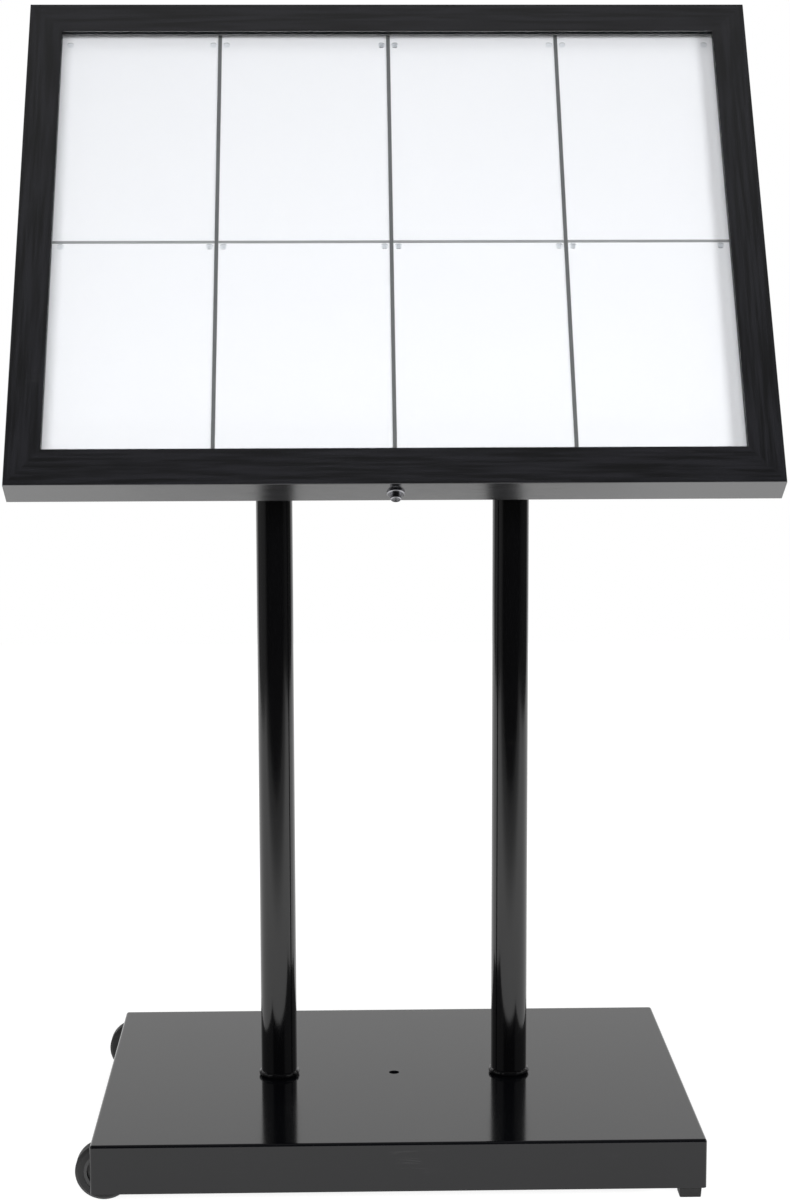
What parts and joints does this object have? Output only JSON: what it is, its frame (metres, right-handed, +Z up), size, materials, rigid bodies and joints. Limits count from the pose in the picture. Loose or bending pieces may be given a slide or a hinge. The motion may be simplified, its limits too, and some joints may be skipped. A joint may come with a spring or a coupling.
{
  "type": "information display stand",
  "caption": "Free-standing display: a leaning, lockable glazed case for sheets on a pair of posts, with a weighted base that tips onto wheels.",
  "frame": {"origin": "on the floor, under the middle of the base", "axes": "+Z up, -Y to the front (the side the case is read from), +X to the reader's right"},
  "size_m": [0.909, 0.521, 1.4211],
  "materials": {
    "door_paint": "satin black coat on extruded aluminium",
    "case_paint": "satin black coat on extruded aluminium",
    "back_paint": "matt black coated sheet",
    "post_paint": "semi-gloss black paint on steel",
    "base_paint": "semi-gloss black paint on folded steel",
    "primed_steel": "matt primer",
    "zinc_steel": "zinc plated",
    "hinge_steel": "black steel",
    "chrome": "polished",
    "foot_rubber": "matt",
    "gasket_rubber": "matt",
    "tyre_rubber": "matt",
    "wheel_plastic": "moulded",
    "clear_glass": "clear",
    "white_board": "white, smooth",
    "divider_plastic": "grey",
    "clear_plastic": "clear"
  },
  "bodies": {
    "stand": {"base_cover": "base_paint", "ballast_slab": "primed_steel", "cover_bolts": "zinc_steel", "left_foot_flange": "primed_steel", "right_foot_flange": "primed_steel", "flange_bolts": "zinc_steel", "left_post": "post_paint", "right_post": "post_paint", "left_collar": "post_paint", "right_collar": "post_paint", "wheel_axle": "zinc_steel", "front_axle_bracket": "zinc_steel", "rear_axle_bracket": "zinc_steel", "bracket_screws": "zinc_steel", "axle_washers": "zinc_steel", "axle_clips": "zinc_steel", "front_foot": "foot_rubber", "rear_foot": "foot_rubber", "front_foot_plate": "zinc_steel", "rear_foot_plate": "zinc_steel", "foot_screws": "zinc_steel", "case_rail_top": "case_paint", "case_rail_bottom": "case_paint", "case_rail_left": "case_paint", "case_rail_right": "case_paint", "back_sheet": "back_paint", "left_stiffener": "zinc_steel", "right_stiffener": "zinc_steel", "left_head_plate": "post_paint", "right_head_plate": "post_paint", "head_bolts": "zinc_steel", "head_nuts": "zinc_steel", "display_board": "white_board", "column_dividers": "divider_plastic", "row_dividers": "divider_plastic", "sheet_clips": "clear_plastic", "case_screws": "zinc_steel", "case_rivets": "zinc_steel", "lock_keeper": "zinc_steel", "hinge_case_leaves": "hinge_steel", "hinge_pins": "hinge_steel"},
    "door": {"door_rail_top": "door_paint", "door_rail_bottom": "door_paint", "door_rail_left": "door_paint", "door_rail_right": "door_paint", "door_corner_plates": "zinc_steel", "door_glass": "clear_glass", "glass_gasket": "gasket_rubber", "glazing_beads": "door_paint", "bead_screws": "zinc_steel", "hinge_door_leaves": "hinge_steel", "hinge_door_screws": "zinc_steel", "lock_body": "chrome", "lock_nut": "zinc_steel"},
    "lock": {"lock_plug": "chrome", "lock_cam": "zinc_steel"},
    "front_wheel": {"front_wheel": "wheel_plastic", "front_tyre": "tyre_rubber"},
    "rear_wheel": {"rear_wheel": "wheel_plastic", "rear_tyre": "tyre_rubber"}
  },
  "joints": [
    {"name": "door_hinge", "type": "hinge", "parent": "stand", "child": "door", "pos_m": [0, 0.22493, 1.39573], "axis": [-1, 0, 0], "range_deg": [0, 80]},
    {"name": "lock_turn", "type": "hinge", "parent": "door", "child": "lock", "pos_m": [0, -0.17321, 0.82947], "axis": [0, -0.5446, -0.8387], "range_deg": [0, 90]},
    {"name": "front_wheel_spin", "type": "hinge", "parent": "stand", "child": "front_wheel", "pos_m": [-0.348, -0.2305, 0.034], "axis": [0, 1, 0], "continuous": true},
    {"name": "rear_wheel_spin", "type": "hinge", "parent": "stand", "child": "rear_wheel", "pos_m": [-0.348, 0.2305, 0.034], "axis": [0, 1, 0], "continuous": true}
  ]
}
